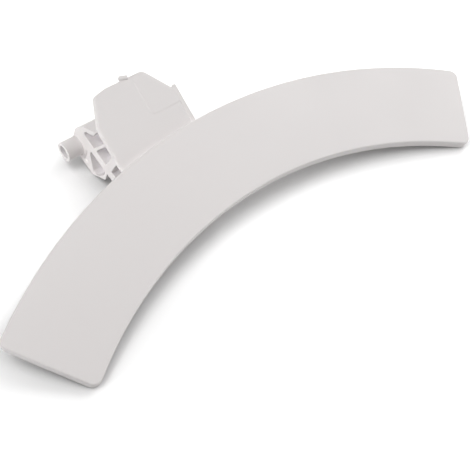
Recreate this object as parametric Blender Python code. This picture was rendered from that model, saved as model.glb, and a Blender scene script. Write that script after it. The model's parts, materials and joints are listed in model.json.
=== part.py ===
"""Washing machine door handle: one white moulding, an arc shaped grip plate with a ribbed lever box behind it.

The handle is drawn in the frame of its grip plate: the front face is z = 0, x runs along the chord of the
arc and y points away from the centre of the door, with the origin at the middle of the convex edge.
The finished moulding is then laid down on the plate's two inner corners and the two cheeks of the box,
the way it comes to rest on a table. Lengths are in metres.
"""

import math

import bmesh
import bpy
import numpy as np
from mathutils import Vector

MM = 0.001

# Grip plate, a sector of the door ring. Each end starts on a radius of the ring at the convex edge and turns
# away from it, so that the two ends converge less.
RING_RADIUS = 195.0 * MM
PLATE_WIDTH = 35.7 * MM
PLATE_HALF_ANGLE = math.radians(35.5)
PLATE_END_TURN = math.radians(2.2)
PLATE_THICKNESS = 4.2 * MM
PLATE_CORNER_RADIUS = 3.2 * MM
PLATE_FRONT_RADIUS = 0.6 * MM
PLATE_BACK_RADIUS = 0.5 * MM

# Lever box, whose two cheeks stand square to the chord
BOX_CENTRE_X = -21.6 * MM
BOX_WIDTH = 37.3 * MM
CHEEK_WIDTH = 10.0 * MM
WEB = 2.0 * MM
EDGE_RADIUS = 0.35 * MM

# Lid of the box, which rises away from the plate and runs on as a free tongue.
# Its places along x are measured from the middle of the box.
LID_RISE = math.radians(14.7)
LID_LEVEL = -3.05 * MM
LID_THICKNESS = 2.2 * MM
LID_ROOT = 9.0 * MM
LID_REACH = 26.0 * MM
LID_KNEE_Y = 14.4 * MM
LID_RIGHT_KNEE_Y = 12.4 * MM
LID_SHOULDER_X = -13.8 * MM
LID_SHOULDER_Y = 24.9 * MM
LID_TOP_X = -8.0 * MM
LID_TIP_X = 9.2 * MM
LID_KNEE_RADIUS = 1.6 * MM
LID_TOP_RADIUS = 6.0 * MM
LID_TIP_RADIUS = 3.4 * MM
LID_EDGE_RADIUS = 1.0 * MM
NECK_INSET = 0.4 * MM
NECK_LIFT = 0.55 * MM

# Raised pad on the lid, the side wall along the lid's right, and the stop nib on the lid's rim
PAD_X = 2.9 * MM
PAD_FLARE = 0.7 * MM
PAD_FLARE_LENGTH = 2.8 * MM
PAD_FRONT_Y = 8.9 * MM
PAD_CORNER_RADIUS = 2.4 * MM
PAD_INSET = 0.25 * MM
PAD_HEIGHT = 0.2 * MM
PAD_SINK = 0.1 * MM
PAD_BEVEL = 0.8 * MM
STOP_LENGTH = 3.0 * MM
STOP_RADIUS = 0.75 * MM
STOP_TURN = math.radians(18.0)
SIDE_WALL = 2.0 * MM
SIDE_WALL_INSET = 0.12 * MM
SIDE_WALL_HEIGHT = 0.3 * MM
SIDE_WALL_SINK = 1.8 * MM
SIDE_WALL_CORNER = 0.65 * MM
SIDE_WALL_REACH = 16.1 * MM

# Side profile of a cheek, heights below the front face
ROOF_ROOT_Z = -3.3 * MM
ROOF_CORNER_Y = 21.7 * MM
ROOF_CORNER_Z = -9.5 * MM
ROOF_THICKNESS = 3.2 * MM
SHOULDER_Y = 25.4 * MM
SHOULDER_Z = -17.4 * MM
BEAM_TOP = -13.2 * MM
BEAM_BOTTOM = -17.5 * MM
INNER_WALL_Y = -13.0 * MM
INNER_CORNER = 5.0 * MM
HEEL_Y = 2.9 * MM
HEEL_Z = -22.6 * MM
TOE_Y = 9.8 * MM
TOE_Z = -29.5 * MM
OUTLINE_RADIUS = 1.4 * MM

# Cored pockets of a cheek, the two ribs between those above the beam, and the shallow recess at the barrel
FRONT_WALL = 1.6 * MM
BARB = 0.6 * MM
CEILING = 0.3 * MM
PLATE_CEILING = 1.0 * MM
FIRST_RIB_Y = 8.5 * MM
FIRST_RIB = 1.4 * MM
FIRST_RIB_LEAN = 3.8 * MM
SECOND_RIB_Y = 2.1 * MM
SECOND_RIB = 3.6 * MM
SECOND_RIB_LEAN = 1.1 * MM
HEEL_WALL = 1.4 * MM
TOE_WALL = 2.6 * MM
TOE_POCKET = 2.2 * MM
POCKET_BEND = 2.2 * MM
BARREL_LAND = 3.2 * MM
LAND_RIB = 1.0 * MM
LAND_SLANT = 1.1 * MM
LAND_DEPTH = 0.75 * MM
POCKET_RADIUS = 0.7 * MM
BARB_RADIUS = 0.5 * MM
DRAFT = math.radians(0.7)

# Pivot barrel, which takes a 5 mm pin, and the spigot in front of the left cheek
PIVOT_Y = 21.2 * MM
PIVOT_Z = -23.9 * MM
BARREL_RADIUS = 4.0 * MM
PIN_DIAMETER = 5.0 * MM
PIN_CLEARANCE = 0.1 * MM
SPIGOT_LENGTH = 6.8 * MM
SPIGOT_CHAMFER = 0.3 * MM

# Fineness of the round stretches
ARC_STEPS = 88
CORNER_STEPS = 6
NECK_STEPS = 14
EDGE_STEPS = 3
ROUND_STEPS = 48
FILLET_STEP = math.radians(15.0)
FILLET_SHARE = 0.49
STRAIGHT = math.radians(179.0)
SMOOTH_ANGLE = math.radians(35.0)

# Satin white of the moulding
WHITE = (0.745, 0.713, 0.704, 1.0)
ROUGHNESS = 0.42

BOX_LEFT = BOX_CENTRE_X - BOX_WIDTH / 2
BOX_RIGHT = BOX_CENTRE_X + BOX_WIDTH / 2
INNER_RADIUS = RING_RADIUS - PLATE_WIDTH
BORE_RADIUS = PIN_DIAMETER / 2 + PIN_CLEARANCE
RING_CENTRE = Vector((0.0, -RING_RADIUS))
PIVOT = Vector((PIVOT_Y, PIVOT_Z))


def lid_face(y):
    """Height of the lid's upper face at y."""
    return LID_LEVEL + y * math.tan(LID_RISE)


def lid_under(y):
    return lid_face(y) - LID_THICKNESS


def under_roof(y):
    """Height of the underside of the roof that slopes from the lid down to the barrel."""
    slope = (ROOF_CORNER_Z - ROOF_ROOT_Z) / (ROOF_CORNER_Y - LID_KNEE_Y)
    return ROOF_ROOT_Z + (y - LID_KNEE_Y) * slope - ROOF_THICKNESS


def arc(centre, radius, first, last, steps):
    """Points of an arc between two directions, which are measured from the first axis."""
    directions = [first + (last - first) * k / steps for k in range(steps + 1)]
    return [centre + radius * Vector((math.cos(a), math.sin(a))) for a in directions]


def rounded(corners):
    """Outline through corners (u, v, radius), each replaced by an arc where its radius is more than zero."""
    outline = []
    for i, (u, v, radius) in enumerate(corners):
        here = Vector((u, v))
        back = Vector(corners[i - 1][:2]) - here
        ahead = Vector(corners[(i + 1) % len(corners)][:2]) - here
        angle = back.angle(ahead)
        if radius <= 0 or angle > STRAIGHT:
            outline.append(here)
            continue
        reach = min(radius / math.tan(angle / 2), FILLET_SHARE * back.length, FILLET_SHARE * ahead.length)
        radius = reach * math.tan(angle / 2)
        middle = (back.normalized() + ahead.normalized()).normalized()
        centre = here + middle * radius / math.sin(angle / 2)
        start = here + back.normalized() * reach - centre
        first = math.atan2(start.y, start.x)
        turn = math.pi - angle
        if back.cross(ahead) > 0:
            turn = -turn
        outline += arc(centre, radius, first, first + turn, max(2, math.ceil(abs(turn) / FILLET_STEP)))
    return outline


def offset(outline, distance):
    """The outline moved out by distance, or in where it is negative. It runs anticlockwise."""
    moved = []
    for i, here in enumerate(outline):
        before = (here - outline[i - 1]).normalized()
        after = (outline[(i + 1) % len(outline)] - here).normalized()
        middle = Vector((before.y + after.y, -before.x - after.x))
        moved.append(here + middle * (2 * distance / middle.length_squared))
    return moved


def anticlockwise(outline):
    area = sum(a.cross(b) for a, b in zip(outline, outline[1:] + outline[:1]))
    return outline if area > 0 else outline[::-1]


def solid(name, rings):
    """Closed mesh object through rings of as many points each, with a cap on the first and the last."""
    mesh = bpy.data.meshes.new(name)
    obj = bpy.data.objects.new(name, mesh)
    bpy.context.scene.collection.objects.link(obj)
    bm = bmesh.new()
    loops = [[bm.verts.new(point) for point in ring] for ring in rings]
    bm.faces.new(loops[0])
    bm.faces.new(loops[-1])
    for low, high in zip(loops, loops[1:]):
        for i in range(len(low)):
            j = (i + 1) % len(low)
            bm.faces.new((low[i], low[j], high[j], high[i]))
    bmesh.ops.recalc_face_normals(bm, faces=bm.faces)
    bm.to_mesh(mesh)
    bm.free()
    return obj


def quarter_round(radius):
    """Steps (rise, inset) of a rounded rim, from its end face to its side wall."""
    if radius <= 0:
        return [(0.0, 0.0)]
    turns = [math.pi / 2 * k / EDGE_STEPS for k in range(EDGE_STEPS + 1)]
    return [(radius * (1 - math.cos(a)), radius * (1 - math.sin(a))) for a in turns]


def levels(low, high, low_radius=0.0, high_radius=0.0):
    """Pairs (height, offset) of a prism from low to high with rounded rims."""
    lower = [(low + rise, -inset) for rise, inset in quarter_round(low_radius)]
    upper = [(high - rise, -inset) for rise, inset in quarter_round(high_radius)]
    return lower + upper[::-1]


def along_z(name, outline, pairs):
    """Prism of an (x, y) outline through pairs (height, offset)."""
    outline = anticlockwise(outline)
    return solid(name, [[Vector((p.x, p.y, z)) for p in offset(outline, grow)] for z, grow in pairs])


def along_x(name, outline, pairs):
    """Prism of a (y, z) outline through pairs (place along the chord, offset)."""
    outline = anticlockwise(outline)
    return solid(name, [[Vector((x, p.x, p.y)) for p in offset(outline, grow)] for x, grow in pairs])


def shear_to_lid(obj):
    """Tilts a flat prism onto the lid's slope, with its side walls left upright."""
    for vertex in obj.data.vertices:
        vertex.co.z += lid_face(vertex.co.y)
    return obj


def plate_outline():
    """Sector of the door ring with turned ends and rounded corners, anticlockwise from its right end."""
    up, down = math.pi / 2, 3 * math.pi / 2
    corner, half = PLATE_CORNER_RADIUS, PLATE_HALF_ANGLE - PLATE_END_TURN
    outer_ring, inner_ring = RING_RADIUS - corner, INNER_RADIUS + corner
    reach = RING_RADIUS * math.sin(PLATE_END_TURN) - corner
    outer = half + math.asin(reach / outer_ring)
    inner = half + math.asin(reach / inner_ring)

    def corner_centre(ring, direction):
        return RING_CENTRE + ring * Vector((math.cos(direction), math.sin(direction)))

    return [
        *arc(corner_centre(outer_ring, up - outer), corner, -half, up - outer, CORNER_STEPS),
        *arc(RING_CENTRE, RING_RADIUS, up - outer, up + outer, ARC_STEPS)[1:-1],
        *arc(corner_centre(outer_ring, up + outer), corner, up + outer, math.pi + half, CORNER_STEPS),
        *arc(corner_centre(inner_ring, up + inner), corner, math.pi + half, down + inner, CORNER_STEPS),
        *arc(RING_CENTRE, INNER_RADIUS, up + inner, up - inner, ARC_STEPS)[1:-1],
        *arc(corner_centre(inner_ring, up - inner), corner, down - inner, 2 * math.pi - half, CORNER_STEPS),
    ]


def grip_plate():
    pairs = levels(-PLATE_THICKNESS, 0.0, PLATE_BACK_RADIUS, PLATE_FRONT_RADIUS)
    return along_z("grip_plate_form", plate_outline(), pairs)


def neck():
    """Deeper rim of the plate over the box, which the lid runs into."""
    radius = RING_RADIUS - NECK_INSET
    left, right = BOX_LEFT + NECK_INSET, BOX_RIGHT - NECK_INSET
    outline = arc(RING_CENTRE, radius, math.acos(right / radius), math.acos(left / radius), NECK_STEPS)
    outline += [Vector((left, -LID_ROOT)), Vector((right, -LID_ROOT))]
    low = lid_under(outline[NECK_STEPS].y) + NECK_LIFT
    return along_z("neck_form", outline, levels(low, -PLATE_THICKNESS / 2))


def lid():
    outline = rounded([
        (BOX_LEFT, -LID_ROOT, 0.0),
        (BOX_RIGHT, -LID_ROOT, 0.0),
        (BOX_RIGHT, LID_RIGHT_KNEE_Y, LID_KNEE_RADIUS),
        (BOX_CENTRE_X + LID_TIP_X, LID_REACH, LID_TIP_RADIUS),
        (BOX_CENTRE_X + LID_TOP_X, LID_REACH, LID_TOP_RADIUS),
        (BOX_CENTRE_X + LID_SHOULDER_X, LID_SHOULDER_Y, LID_KNEE_RADIUS),
        (BOX_LEFT, LID_KNEE_Y, LID_KNEE_RADIUS),
    ])
    return shear_to_lid(along_z("lid_form", outline, levels(-LID_THICKNESS, 0.0, EDGE_RADIUS, LID_EDGE_RADIUS)))


def pad():
    """Shallow raised field in the lid's right corner, with a sloped edge all round."""
    left = BOX_CENTRE_X + PAD_X
    right = BOX_RIGHT - SIDE_WALL / 2
    far = LID_REACH - PAD_INSET
    side_slope = (LID_REACH - LID_RIGHT_KNEE_Y) / (BOX_WIDTH / 2 - LID_TIP_X)
    outline = rounded([
        (left, PAD_FRONT_Y, PAD_CORNER_RADIUS),
        (right, PAD_FRONT_Y, 0.0),
        (right, LID_RIGHT_KNEE_Y + SIDE_WALL / 2 * side_slope, 0.0),
        (BOX_CENTRE_X + LID_TIP_X - PAD_INSET, far, LID_TIP_RADIUS),
        (left - PAD_FLARE, far, 0.0),
        (left, LID_REACH - PAD_FLARE_LENGTH, PAD_CORNER_RADIUS),
    ])
    pairs = [(-LID_THICKNESS / 2, 0.0), (-PAD_SINK, 0.0), (PAD_HEIGHT, -PAD_BEVEL)]
    return shear_to_lid(along_z("pad_form", outline, pairs))


def side_wall():
    """Top of the right cheek, a low wall along the lid that ends as an ear past the lid's slanted side."""
    inner, outer = BOX_RIGHT - SIDE_WALL, BOX_RIGHT - SIDE_WALL_INSET
    outline = rounded([
        (inner, -LID_ROOT / 2, 0.0),
        (outer, -LID_ROOT / 2, 0.0),
        (outer, SIDE_WALL_REACH, SIDE_WALL_CORNER),
        (inner, SIDE_WALL_REACH, SIDE_WALL_CORNER),
    ])
    pairs = levels(-SIDE_WALL_SINK, SIDE_WALL_HEIGHT, 0.0, EDGE_RADIUS)
    return shear_to_lid(along_z("side_wall_form", outline, pairs))


def stop_nib():
    """Small round nosed stop that lies across the lid's outer rim, to the left of the pad."""
    start = Vector((BOX_CENTRE_X + PAD_X - PAD_FLARE, LID_REACH - STOP_RADIUS / 2))
    direction = Vector((-math.cos(STOP_TURN), math.sin(STOP_TURN)))
    side = Vector((direction.y, -direction.x)) * STOP_RADIUS
    facing = math.atan2(side.y, side.x)
    nose = arc(start + direction * STOP_LENGTH, STOP_RADIUS, facing, facing + math.pi, 2 * CORNER_STEPS)
    outline = [start - side, start + side, *nose]
    pairs = levels(-STOP_RADIUS, STOP_RADIUS, 0.0, STOP_RADIUS / 2)
    return shear_to_lid(along_z("stop_form", outline, pairs))


def inner_wall_corners():
    """Finger side of the box, from the plate down and round to the heel."""
    return [
        (INNER_WALL_Y, -PLATE_THICKNESS / 2, 0.0),
        (INNER_WALL_Y, BEAM_BOTTOM + INNER_CORNER, OUTLINE_RADIUS),
        (INNER_WALL_Y + INNER_CORNER, BEAM_BOTTOM, OUTLINE_RADIUS),
    ]


def cheek_outline():
    """Side view of one cheek, from the inner wall under the plate round the toe and the barrel to the roof."""
    barrel = arc(PIVOT, BARREL_RADIUS, -math.pi / 2, 0.0, ROUND_STEPS // 4)
    lid_core = LID_THICKNESS / 2
    return rounded([
        *inner_wall_corners(),
        (HEEL_Y, BEAM_BOTTOM, POCKET_RADIUS),
        (HEEL_Y, HEEL_Z, OUTLINE_RADIUS),
        (TOE_Y, TOE_Z, OUTLINE_RADIUS),
        (PIVOT_Y - BARREL_RADIUS, TOE_Z, OUTLINE_RADIUS),
        *[(p.x, p.y, 0.0) for p in barrel],
        (SHOULDER_Y, SHOULDER_Z, OUTLINE_RADIUS),
        (ROOF_CORNER_Y, ROOF_CORNER_Z, OUTLINE_RADIUS),
        (LID_KNEE_Y, ROOF_ROOT_Z, POCKET_RADIUS),
        (LID_KNEE_Y, lid_face(LID_KNEE_Y) - lid_core, 0.0),
        (-LID_ROOT / 2, lid_face(-LID_ROOT / 2) - lid_core, 0.0),
        (-LID_ROOT / 2, -PLATE_THICKNESS / 2, 0.0),
    ])


def cheek(side, left):
    pairs = levels(left, left + CHEEK_WIDTH, EDGE_RADIUS, EDGE_RADIUS)
    return along_x(f"{side}_cheek_form", cheek_outline(), pairs)


def front_pocket():
    """Pocket under the roof, with a barb where the roof meets the lid."""
    outer = ROOF_CORNER_Y - FRONT_WALL
    rib = FIRST_RIB_Y + FIRST_RIB / 2
    return [
        (outer, BEAM_TOP, POCKET_RADIUS),
        (outer - BARB, under_roof(outer - BARB), POCKET_RADIUS),
        (LID_KNEE_Y + BARB, under_roof(LID_KNEE_Y + BARB), BARB_RADIUS),
        (LID_KNEE_Y - BARB, lid_under(LID_KNEE_Y) - CEILING, POCKET_RADIUS),
        (rib, lid_under(rib) - CEILING, POCKET_RADIUS),
        (rib + FIRST_RIB_LEAN, BEAM_TOP, POCKET_RADIUS),
    ]


def middle_pocket():
    front, back = FIRST_RIB_Y - FIRST_RIB / 2, SECOND_RIB_Y + SECOND_RIB / 2
    return [
        (front + FIRST_RIB_LEAN, BEAM_TOP, POCKET_RADIUS),
        (front, lid_under(front) - CEILING, POCKET_RADIUS),
        (back, lid_under(back) - CEILING, POCKET_RADIUS),
        (back + SECOND_RIB_LEAN, BEAM_TOP, POCKET_RADIUS),
    ]


def back_pocket():
    """Pocket that runs from the second rib under the plate to the inner wall."""
    front, back = SECOND_RIB_Y - SECOND_RIB / 2, INNER_WALL_Y + WEB
    return [
        (front + SECOND_RIB_LEAN, BEAM_TOP, POCKET_RADIUS),
        (front, lid_under(front) - CEILING, POCKET_RADIUS),
        (back, -PLATE_THICKNESS - PLATE_CEILING, POCKET_RADIUS),
        (back, BEAM_TOP, OUTLINE_RADIUS),
    ]


def lower_pocket():
    """Pocket below the beam, which narrows towards the toe."""
    heel = HEEL_Y + HEEL_WALL
    land = PIVOT_Y - BARREL_RADIUS - BARREL_LAND
    floor = TOE_Z + TOE_WALL
    return [
        (land, BEAM_BOTTOM, POCKET_RADIUS),
        (land, HEEL_Z + POCKET_BEND, POCKET_RADIUS),
        (TOE_Y, floor, POCKET_RADIUS),
        (TOE_Y - TOE_POCKET, floor, POCKET_RADIUS),
        (heel, HEEL_Z + POCKET_BEND, POCKET_RADIUS),
        (heel, BEAM_BOTTOM, POCKET_RADIUS),
    ]


def barrel_recess():
    """Shallow recess beside the barrel, between the rim of the toe and the lower pocket's rib."""
    near = PIVOT_Y - BARREL_RADIUS - 2 * EDGE_RADIUS
    far = PIVOT_Y - BARREL_RADIUS - BARREL_LAND + LAND_RIB
    top, bottom = PIVOT_Z + BARREL_RADIUS - BARB, TOE_Z + TOE_WALL
    return [
        (near, top, BARB_RADIUS),
        (far, top, BARB_RADIUS),
        (far - LAND_SLANT, bottom, BARB_RADIUS),
        (near, bottom, BARB_RADIUS),
    ]


def pocket_cut(name, corners, face, inward, depth):
    """Cutter with a rounded mouth, a drafted wall and a rounded floor, sunk into a cheek's outer face."""
    mouth = quarter_round(EDGE_RADIUS)
    narrowing = (depth - 2 * EDGE_RADIUS) * math.tan(DRAFT)
    floor = [(depth - rise, -narrowing - inset) for rise, inset in quarter_round(EDGE_RADIUS)]
    pairs = [(-EDGE_RADIUS, EDGE_RADIUS)] + mouth + floor[::-1]
    return along_x(name, rounded(corners), [(face + inward * x, grow) for x, grow in pairs])


def cheek_cuts(side, face, inward):
    deep = CHEEK_WIDTH - WEB
    shapes = {
        "front_pocket": (front_pocket(), deep),
        "middle_pocket": (middle_pocket(), deep),
        "back_pocket": (back_pocket(), deep),
        "lower_pocket": (lower_pocket(), deep),
        "barrel_recess": (barrel_recess(), LAND_DEPTH),
    }
    return [pocket_cut(f"{side}_{name}_cut", corners, face, inward, depth)
            for name, (corners, depth) in shapes.items()]


def inner_wall():
    """Wall on the finger side of the box and its floor up to the heel, from cheek to cheek."""
    mitre = WEB * math.tan(math.pi / 8)
    outline = rounded([
        *inner_wall_corners(),
        (HEEL_Y, BEAM_BOTTOM, 0.0),
        (HEEL_Y, BEAM_BOTTOM + WEB, 0.0),
        (INNER_WALL_Y + INNER_CORNER + mitre, BEAM_BOTTOM + WEB, 0.0),
        (INNER_WALL_Y + WEB, BEAM_BOTTOM + INNER_CORNER + mitre, 0.0),
        (INNER_WALL_Y + WEB, -PLATE_THICKNESS / 2, 0.0),
    ])
    pairs = levels(BOX_LEFT + CHEEK_WIDTH / 2, BOX_RIGHT - CHEEK_WIDTH / 2)
    return along_x("inner_wall_form", outline, pairs)


def spigot():
    """Tube on the left cheek, in line with the barrel."""
    outline = arc(PIVOT, BARREL_RADIUS, 0.0, 2 * math.pi, ROUND_STEPS)[:-1]
    pairs = levels(BOX_LEFT - SPIGOT_LENGTH, BOX_LEFT + CHEEK_WIDTH / 2, SPIGOT_CHAMFER)
    return along_x("spigot_form", outline, pairs)


def bore_cut():
    """Bore for the pin through the spigot and both cheeks, with an eased mouth at the spigot."""
    outline = arc(PIVOT, BORE_RADIUS, 0.0, 2 * math.pi, ROUND_STEPS)[:-1]
    left = BOX_LEFT - SPIGOT_LENGTH
    pairs = [
        (left - SPIGOT_CHAMFER, 2 * SPIGOT_CHAMFER),
        (left + SPIGOT_CHAMFER, 0.0),
        (BOX_RIGHT + SPIGOT_CHAMFER, 0.0),
    ]
    return along_x("bore_cut", outline, pairs)


def white_plastic():
    material = bpy.data.materials.new("white_plastic")
    material.use_nodes = True
    shader = material.node_tree.nodes["Principled BSDF"]
    shader.inputs["Base Color"].default_value = WHITE
    shader.inputs["Roughness"].default_value = ROUGHNESS
    shader.inputs["Metallic"].default_value = 0.0
    return material


def combine(obj, name, operation, members):
    """Boolean on obj with a collection of helpers, which stay as wires and out of the render."""
    group = bpy.data.collections.new(name)
    bpy.context.scene.collection.children.link(group)
    for member in members:
        bpy.context.scene.collection.objects.unlink(member)
        group.objects.link(member)
        member.hide_render = True
        member.display_type = "WIRE"
    modifier = obj.modifiers.new(name, "BOOLEAN")
    modifier.operation = operation
    modifier.operand_type = "COLLECTION"
    modifier.collection = group


def evaluated_points(obj):
    graph = bpy.context.evaluated_depsgraph_get()
    evaluated = obj.evaluated_get(graph)
    mesh = evaluated.to_mesh()
    points = np.empty(len(mesh.vertices) * 3)
    mesh.vertices.foreach_get("co", points)
    evaluated.to_mesh_clear()
    return points.reshape(-1, 3)


def rest_angle(points):
    """Angle about x that lays the handle down: the slope of the underside's hull below the plate's middle."""
    side_view = sorted({(round(y, 7), round(z, 7)) for _, y, z in points})
    hull = []
    for point in side_view:
        while len(hull) > 1:
            (ay, az), (by, bz) = hull[-2:]
            if (by - ay) * (point[1] - az) - (bz - az) * (point[0] - ay) > 0:
                break
            hull.pop()
        hull.append(point)
    middle = -PLATE_WIDTH / 2
    for (ay, az), (by, bz) in zip(hull, hull[1:]):
        if ay <= middle <= by:
            return math.atan2(az - bz, by - ay)
    return 0.0


def lay_down(obj):
    """Parents the handle to an empty that turns it onto its resting points and centres it on the table."""
    points = evaluated_points(obj)
    angle = rest_angle(points)
    turn = np.array([
        [1.0, 0.0, 0.0],
        [0.0, math.cos(angle), -math.sin(angle)],
        [0.0, math.sin(angle), math.cos(angle)],
    ])
    laid = points @ turn.T
    low, high = laid.min(axis=0), laid.max(axis=0)
    pose = bpy.data.objects.new("resting_pose", None)
    bpy.context.scene.collection.objects.link(pose)
    pose.rotation_euler = (angle, 0.0, 0.0)
    pose.location = (-(low[0] + high[0]) / 2, -(low[1] + high[1]) / 2, -low[2])
    for piece in bpy.data.objects:
        if piece.type == "MESH":
            piece.parent = pose


def build():
    for old in list(bpy.data.objects):
        bpy.data.objects.remove(old, do_unlink=True)
    handle = grip_plate()
    handle.name = "door_handle"
    handle.data.materials.append(white_plastic())
    forms = [
        neck(),
        lid(),
        pad(),
        side_wall(),
        stop_nib(),
        inner_wall(),
        spigot(),
        cheek("left", BOX_LEFT),
        cheek("right", BOX_RIGHT - CHEEK_WIDTH),
    ]
    cuts = [bore_cut(), *cheek_cuts("left", BOX_LEFT, 1), *cheek_cuts("right", BOX_RIGHT, -1)]
    combine(handle, "box_forms", "UNION", forms)
    combine(handle, "box_cuts", "DIFFERENCE", cuts)
    lay_down(handle)
    handle.data.shade_smooth()
    handle.data.set_sharp_from_angle(angle=SMOOTH_ANGLE)


build()
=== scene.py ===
# Looks of a washing machine door handle: one satin white moulding that lies on a white studio floor
import json
import math

import bpy
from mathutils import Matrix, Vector

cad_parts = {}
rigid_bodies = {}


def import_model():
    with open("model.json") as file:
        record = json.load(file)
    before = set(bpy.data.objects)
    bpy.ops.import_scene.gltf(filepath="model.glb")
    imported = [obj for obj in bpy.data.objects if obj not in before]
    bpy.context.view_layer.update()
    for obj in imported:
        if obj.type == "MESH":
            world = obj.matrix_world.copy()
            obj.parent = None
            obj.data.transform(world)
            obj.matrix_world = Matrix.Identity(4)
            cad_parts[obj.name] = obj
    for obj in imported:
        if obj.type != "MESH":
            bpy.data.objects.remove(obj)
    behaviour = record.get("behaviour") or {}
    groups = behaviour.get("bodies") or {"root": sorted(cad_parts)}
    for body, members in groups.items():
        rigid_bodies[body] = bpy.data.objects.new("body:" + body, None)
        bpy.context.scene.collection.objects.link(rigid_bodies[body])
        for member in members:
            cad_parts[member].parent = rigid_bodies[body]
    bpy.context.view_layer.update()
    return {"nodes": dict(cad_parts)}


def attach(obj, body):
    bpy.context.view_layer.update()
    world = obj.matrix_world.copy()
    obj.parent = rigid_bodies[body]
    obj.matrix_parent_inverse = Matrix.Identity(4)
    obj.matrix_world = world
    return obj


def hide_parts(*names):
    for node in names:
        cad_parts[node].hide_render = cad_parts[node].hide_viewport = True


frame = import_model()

print("frame loaded")


def deselectAll():
    bpy.ops.object.select_all(action="DESELECT")


def addNode(owner, kind, values=None, links=None):
    # one shader node, with its sockets set from values and fed by the sockets in links
    node = owner.node_tree.nodes.new(kind)
    for name, value in (values or {}).items():
        node.inputs[name].default_value = value
    for name, source in (links or {}).items():
        owner.node_tree.links.new(source, node.inputs[name])
    return node


def addMath(owner, kind, operation, values=None, links=None):
    node = addNode(owner, kind, values, links)
    node.operation = operation
    return node


def addRange(owner, source, before, after):
    # carries the range before over to the range after, and stops at its ends
    limits = {"From Min": before[0], "From Max": before[1], "To Min": after[0], "To Max": after[1]}
    return addNode(owner, "ShaderNodeMapRange", limits, {"Value": source}).outputs["Result"]


def addNoise(owner, place, clouds):
    size, detail, rough = clouds
    values = {"Scale": 1 / size, "Detail": detail, "Roughness": rough}
    return addNode(owner, "ShaderNodeTexNoise", values, {"Vector": place}).outputs["Fac"]


def seenDirectly(owner):
    # 1 on rays from the camera, and on those that a gloss or glass sends on, else 0
    rays = addNode(owner, "ShaderNodeLightPath")
    either = rays.outputs["Is Camera Ray"]
    for name in ("Is Glossy Ray", "Is Transmission Ray"):
        both = addMath(owner, "ShaderNodeMath", "MAXIMUM", links={0: either, 1: rays.outputs[name]})
        either = both.outputs["Value"]
    return either


def splitLooks(owner, lit, seen, surface):
    # lit is what the handle gets its light from, and seen is what the camera meets
    mix = addNode(owner, "ShaderNodeMixShader", links={"Fac": seenDirectly(owner), 1: lit, 2: seen})
    owner.node_tree.links.new(mix.outputs["Shader"], surface)


# the moulding: the solid's own faces, welded, with soft shading over its rounded edges
handleShape = {
    "weld": 0.000002,           # metres, joins the corners that neighbouring triangles share
    "smoothAngle": 35.0,        # degrees, anything sharper stays a crisp edge
    "padEdge": (17.0, 24.0),    # degrees, the shallow edge of the lid's pad, crisp as well
    "normalWeight": 60,         # how far the wide flat faces hold their shading against the narrow rounds
}


def markCrispEdges(shape):
    # each angle marks or clears all sharper edges: the pad's outline gets crisp, the small rounds stay soft
    padLow, padHigh = shape["padEdge"]
    bpy.ops.object.mode_set(mode="EDIT")
    bpy.ops.mesh.select_mode(type="EDGE")
    for angle, clear in ((padLow, False), (padHigh, True), (shape["smoothAngle"], False)):
        bpy.ops.mesh.select_all(action="DESELECT")
        bpy.ops.mesh.edges_select_sharp(sharpness=math.radians(angle))
        bpy.ops.mesh.mark_sharp(clear=clear)
    bpy.ops.object.mode_set(mode="OBJECT")


def makeHandle(shape):
    node = frame["nodes"]["door_handle"]
    deselectAll()
    node.select_set(True)
    bpy.context.view_layer.objects.active = node
    bpy.ops.object.duplicate()
    piece = bpy.context.object
    piece.name = "white_moulding"
    piece.data.name = "white_moulding"
    bpy.ops.object.parent_clear(type="CLEAR_KEEP_TRANSFORM")
    bpy.ops.object.transform_apply(location=True, rotation=True, scale=True)

    bpy.ops.object.mode_set(mode="EDIT")
    bpy.ops.mesh.select_all(action="SELECT")
    bpy.ops.mesh.remove_doubles(threshold=shape["weld"])
    bpy.ops.object.mode_set(mode="OBJECT")

    if piece.data.has_custom_normals:
        bpy.ops.mesh.customdata_custom_splitnormals_clear()
    bpy.ops.object.shade_smooth_by_angle(angle=math.radians(shape["smoothAngle"]))
    markCrispEdges(shape)
    evenNormals = piece.modifiers.new("evenNormals", "WEIGHTED_NORMAL")
    evenNormals.weight = shape["normalWeight"]
    evenNormals.keep_sharp = True
    bpy.ops.object.modifier_apply(modifier=evenNormals.name)
    return piece


# satin white plastic: a fine spark eroded grain, a roughness and tint that drift over the moulding, and
# painted light that makes its recesses lighter
# drift, grain and sink are noise: metres across a cloud, its octaves of detail, and how rough that detail is
whitePlastic = {
    "colour": (0.745, 0.713, 0.704),        # warm white, linear
    "tint": (0.738, 0.709, 0.704),          # the other end of the slow drift in colour
    "drift": (0.030, 3.0, 0.5),
    "driftRange": (0.3, 0.7),               # where nearly all of the drift's noise lies
    "roughness": (0.37, 0.47),              # smoothest and dullest of the drift
    "grain": (0.00045, 2.0, 0.55),          # fine grain of the tool's surface
    "grainDepth": 0.000006,                 # metres
    "sink": (0.018, 1.0, 0.4),              # faint unevenness where the plastic shrank
    "sinkDepth": 0.00003,                   # metres
    "recessReach": 0.010,                   # metres, how near the walls of a recess stand
    "paintedRecessLight": (0.28, 0.30, 0.33),       # painted light, how much lighter the colour is painted deep in one, standing in for light that soaks through the thin walls
    "recessOpenness": (0.20, 0.60),         # of the deepest recess, and of a face that counts as open
    "recessRays": 16,                       # rays that feel for the walls, more for a cleaner result
}


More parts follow.
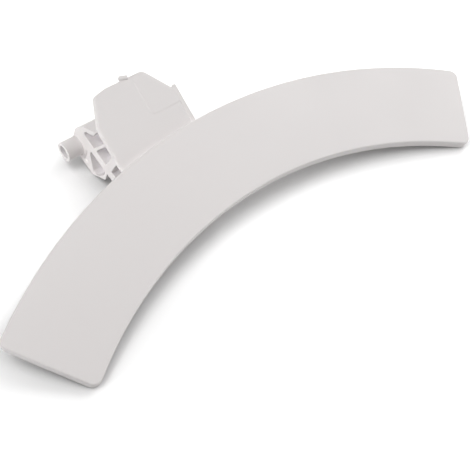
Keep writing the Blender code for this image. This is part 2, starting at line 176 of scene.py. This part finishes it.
def makePlastic(look):
    material = bpy.data.materials.new("satinWhitePlastic")
    material.use_nodes = True
    shader = material.node_tree.nodes["Principled BSDF"]
    place = addNode(material, "ShaderNodeTexCoord").outputs["Object"]

    drift = addNoise(material, place, look["drift"])
    colour = addNode(material, "ShaderNodeValToRGB", links={"Fac": drift})
    colour.color_ramp.elements[0].color = (*look["colour"], 1.0)
    colour.color_ramp.elements[1].color = (*look["tint"], 1.0)

    # painted light: the colour is multiplied by 1 on open faces, and by 1 + paintedRecessLight deep in a
    # recess
    walls = addNode(material, "ShaderNodeAmbientOcclusion", {"Distance": look["recessReach"]})
    walls.only_local = True
    walls.samples = look["recessRays"]
    paintedLightMask = addRange(material, walls.outputs["AO"], look["recessOpenness"], (1.0, 0.0))
    paler = addMath(material, "ShaderNodeVectorMath", "MULTIPLY_ADD",
                    {1: look["paintedRecessLight"], 2: (1.0, 1.0, 1.0)}, {0: paintedLightMask})
    paintedLightColour = addMath(material, "ShaderNodeVectorMath", "MULTIPLY",
                     links={0: colour.outputs["Color"], 1: paler.outputs["Vector"]})

    dull = addRange(material, drift, look["driftRange"], look["roughness"])

    sink = addNoise(material, place, look["sink"])
    grain = addNoise(material, place, look["grain"])
    uneven = addNode(material, "ShaderNodeBump", {"Strength": 1.0, "Distance": look["sinkDepth"]},
                     {"Height": sink})
    fine = addNode(material, "ShaderNodeBump", {"Strength": 1.0, "Distance": look["grainDepth"]},
                   {"Height": grain, "Normal": uneven.outputs["Normal"]})

    for source, name in ((paintedLightColour.outputs["Vector"], "Base Color"), (dull, "Roughness"),
                         (fine.outputs["Normal"], "Normal")):
        material.node_tree.links.new(source, shader.inputs[name])
    return material


handle = makeHandle(handleShape)
handle.data.materials.clear()
handle.data.materials.append(makePlastic(whitePlastic))
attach(handle, "root")
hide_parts("door_handle")
print("moulding made,", len(handle.data.polygons), "faces")


# floor: plain white, pure white to the camera where no shadow falls, with a painted shadow beside the handle
floorLook = {
    "size": 1.5,            # metres across, past it the white surround shows
    "drop": 0.0001,         # metres below the handle's lowest point
    "colour": 0.80,         # what the handle is lit by
    "seen": 1.35,           # what the camera sees, so that the open floor is white and the shadow stays
    "evenReach": 0.25,      # metres from the middle that the lamps light evenly
    "seenAtEdge": 3.0,      # what the camera sees at the floor's edge, where less light falls
    "contactReach": 0.018,  # metres, how far the painted shadow beside the handle goes
    "paintedContactShade": 0.21,   # how much of the floor's white the painted shadow leaves right under it
}


def makeFloor(look):
    deselectAll()
    bpy.ops.mesh.primitive_plane_add(size=look["size"], location=(0.0, 0.0, -look["drop"]))
    floor = bpy.context.object
    floor.name = "floor"
    bpy.ops.object.transform_apply(location=True)
    material = bpy.data.materials.new("whiteFloor")
    material.use_nodes = True
    nodes = material.node_tree.nodes
    nodes.remove(nodes["Principled BSDF"])

    # painted shadow: the colour the camera sees on the floor is darkened where the handle stands near
    near = addNode(material, "ShaderNodeAmbientOcclusion", {"Distance": look["contactReach"]})
    paintedShade = addRange(material, near.outputs["AO"], (0.0, 1.0), (look["paintedContactShade"], 1.0))
    place = addNode(material, "ShaderNodeTexCoord").outputs["Object"]
    away = addMath(material, "ShaderNodeVectorMath", "LENGTH", links={0: place})
    openFloor = addRange(material, away.outputs["Value"], (look["evenReach"], look["size"] / 2),
                         (look["seen"], look["seenAtEdge"]))
    shaded = addMath(material, "ShaderNodeMath", "MULTIPLY", links={0: openFloor, 1: paintedShade})

    lit = addNode(material, "ShaderNodeBsdfDiffuse", {"Color": (*[look["colour"]] * 3, 1.0)})
    seen = addNode(material, "ShaderNodeBsdfDiffuse", links={"Color": shaded.outputs["Value"]})
    splitLooks(material, lit.outputs["BSDF"], seen.outputs["BSDF"],
               nodes["Material Output"].inputs["Surface"])
    floor.data.materials.append(material)


makeFloor(floorLook)
print("floor laid")


# surround: nothing but white to the camera, because the lamps alone light the handle
surround = {
    "colour": (1.0, 1.0, 1.0, 1.0),
    "lit": 0.0,             # strength that the handle is lit by
    "seen": 1.0,            # strength that the camera sees, plain white
}


def makeWorld(look):
    world = bpy.data.worlds.new("surround")
    bpy.context.scene.world = world
    world.use_nodes = True
    nodes = world.node_tree.nodes
    nodes.remove(nodes["Background"])
    lit, seen = [addNode(world, "ShaderNodeBackground", {"Color": look["colour"], "Strength": look[name]})
                 for name in ("lit", "seen")]
    splitLooks(world, lit.outputs["Background"], seen.outputs["Background"],
               nodes["World Output"].inputs["Surface"])


# soft studio light: broad lamps round the table, by their direction and height in degrees, their distance in
# metres, and their strength, which at 1 lights a face that looks at the lamp to its own colour
broadLamps = {
    "rightLamp": {"azimuth": 0.0, "height": 45.0, "distance": 1.3, "strength": 0.36},
    "highLeftLamp": {"azimuth": 180.0, "height": 66.0, "distance": 2.0, "strength": 0.40},
    "highFrontLamp": {"azimuth": 290.0, "height": 60.0, "distance": 2.0, "strength": 0.15},
    "backLamp": {"azimuth": 45.0, "height": 12.0, "distance": 2.0, "strength": 0.47},
    "lowRightLamp": {"azimuth": 315.0, "height": 12.0, "distance": 2.0, "strength": 0.30},
}
broadWidth = 35.0       # degrees that each broad lamp covers, seen from the handle

# and a small lamp near the ribbed side of the box
boxLamp = {
    "target": (-0.040, 0.030, 0.013),   # metres, the left cheek
    "azimuth": 178.0,                   # degrees
    "height": 14.0,                     # degrees
    "distance": 0.35,                   # metres
    "radius": 0.085,                    # metres
    "cone": 30.0,                       # degrees, keeps it off the end of the plate
    "coneBlend": 0.4,                   # share of the cone over which it fades
    "power": 3.4,                       # watts
}


def wayTo(values):
    # direction from the handle to a light
    azimuth, height = math.radians(values["azimuth"]), math.radians(values["height"])
    level = math.cos(height)
    return Vector((math.cos(azimuth) * level, math.sin(azimuth) * level, math.sin(height)))


def makeLight(name, kind, energy, way):
    data = bpy.data.lights.new(name, kind)
    data.energy = energy
    light = bpy.data.objects.new(name, data)
    bpy.context.scene.collection.objects.link(light)
    light.rotation_euler = way.to_track_quat("Z", "Y").to_euler()
    light.visible_camera = False
    return light


def makeBroadLamp(name, values):
    distance, way = values["distance"], wayTo(values)
    lamp = makeLight(name, "AREA", values["strength"] * (math.pi * distance) ** 2, way)
    lamp.data.shape = "DISK"
    lamp.data.size = 2 * distance * math.tan(math.radians(broadWidth / 2))
    lamp.location = way * distance


def makeBoxLamp(values):
    way = wayTo(values)
    lamp = makeLight("boxLamp", "SPOT", values["power"], way)
    lamp.data.shadow_soft_size = values["radius"]
    lamp.data.spot_size = math.radians(values["cone"])
    lamp.data.spot_blend = values["coneBlend"]
    lamp.location = Vector(values["target"]) + way * values["distance"]


makeWorld(surround)
for lampName, lampValues in broadLamps.items():
    makeBroadLamp(lampName, lampValues)
makeBoxLamp(boxLamp)
print("lights set")


# camera: where the photograph was taken from, found by fitting the plate's outline
cameraView = {
    "place": (-0.169066, -0.175373, 0.271239),      # metres
    "turn": (38.3647, -4.263, -40.1408),            # degrees
    "lens": 70.0,                                   # millimetres
    "sensor": 36.0,                                 # millimetres across
}


def makeCamera(view):
    data = bpy.data.cameras.new("camera")
    data.lens = view["lens"]
    data.sensor_width = view["sensor"]
    data.sensor_fit = "HORIZONTAL"
    camera = bpy.data.objects.new("camera", data)
    bpy.context.scene.collection.objects.link(camera)
    camera.location = view["place"]
    camera.rotation_euler = [math.radians(angle) for angle in view["turn"]]
    bpy.context.scene.camera = camera


makeCamera(cameraView)
bpy.context.scene.view_settings.view_transform = "Standard"
print("camera placed")
